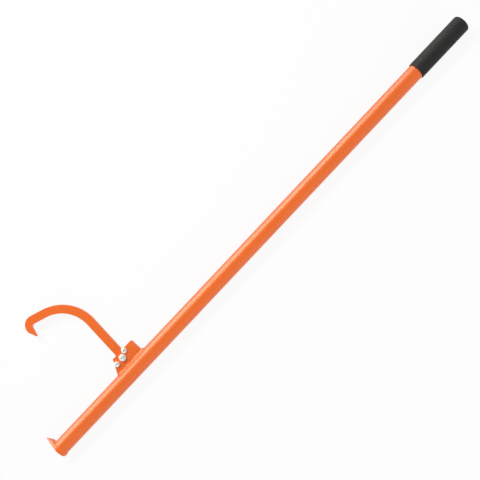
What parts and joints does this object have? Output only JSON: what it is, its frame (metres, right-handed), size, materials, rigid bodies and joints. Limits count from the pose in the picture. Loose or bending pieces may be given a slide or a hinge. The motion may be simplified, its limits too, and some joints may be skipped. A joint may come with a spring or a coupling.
{
  "type": "cant hook",
  "caption": "Steel cant hook for rolling logs: a tube lever with a pointed toe plate, a rubber grip, and a flat hook that swings in a folded bracket between stop bolts.",
  "frame": {"origin": "middle of the toe plate's outer face, on the handle's axis", "axes": "+X up the handle to the grip, +Y to the hook's side, +Z along the pivot bolt to its head"},
  "size_m": [1.22, 0.2539, 0.0391],
  "materials": {
    "orange_paint": "satin powder coat on steel",
    "grip_rubber": "matt moulded rubber with a fine stipple",
    "zinc": "bright zinc plating",
    "nylon": "natural nylon"
  },
  "bodies": {
    "handle": {"handle_tube": "orange_paint", "grip": "grip_rubber", "toe_plate": "orange_paint", "toe_weld": "orange_paint", "hook_bracket": "orange_paint", "bracket_weld": "orange_paint", "pivot_bolt": "zinc", "pivot_head_washer": "zinc", "pivot_nut_washer": "zinc", "pivot_nut": "zinc", "pivot_nut_insert": "nylon", "open_stop_bolt": "zinc", "open_stop_head_washer": "zinc", "open_stop_nut_washer": "zinc", "open_stop_nut": "zinc", "open_stop_nut_insert": "nylon", "closed_stop_bolt": "zinc", "closed_stop_head_washer": "zinc", "closed_stop_nut_washer": "zinc", "closed_stop_nut": "zinc", "closed_stop_nut_insert": "nylon"},
    "hook": {"hook": "orange_paint"}
  },
  "joints": [
    {"name": "hook_swing", "type": "hinge", "parent": "handle", "child": "hook", "pos_m": [0.232, 0.0355, 0], "axis": [0, 0, 1], "range_deg": [0, 53.5]}
  ]
}
